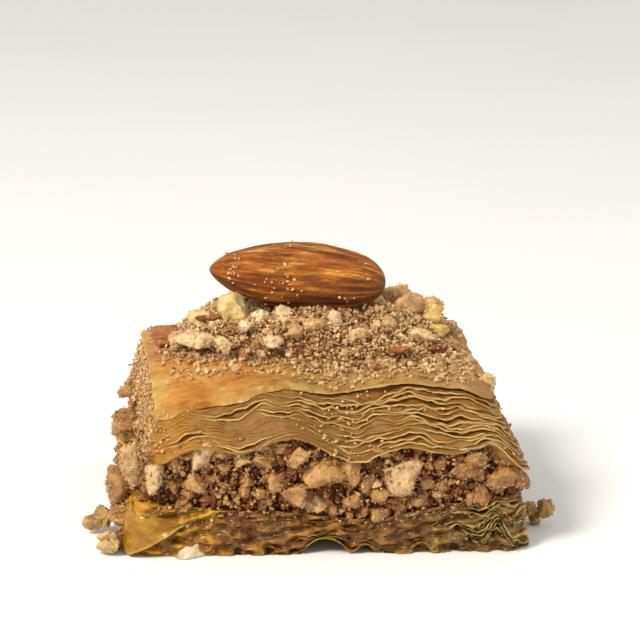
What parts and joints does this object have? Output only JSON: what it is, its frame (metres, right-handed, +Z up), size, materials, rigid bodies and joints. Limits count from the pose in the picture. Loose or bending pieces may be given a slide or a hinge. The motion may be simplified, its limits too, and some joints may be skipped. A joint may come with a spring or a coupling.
{
  "type": "baklava piece",
  "caption": "Cut square of layered filo pastry with a chopped nut filling, a mound of ground nuts and a whole almond on top.",
  "frame": {"origin": "middle of the flat underside", "axes": "+Z up out of the pastry, +X along the front cut towards its right end, -Y out of the front cut that shows the layers"},
  "size_m": [0.0649, 0.0506, 0.036],
  "materials": {
    "filo": "golden baked filo leaves, lightly glazed with syrup",
    "wet_filo": "syrup-soaked filo leaves, translucent and glossy",
    "chopped_nut": "matt chopped and ground nuts",
    "almond_skin": "satin brown almond skin with lengthwise grooves"
  },
  "bodies": {
    "root": {"lower_filo": "wet_filo", "nut_filling": "chopped_nut", "upper_filo": "filo", "nut_mound": "chopped_nut", "almond": "almond_skin", "crumb_left_front": "chopped_nut", "crumb_left_back": "chopped_nut", "crumb_right": "chopped_nut"}
  },
  "joints": []
}
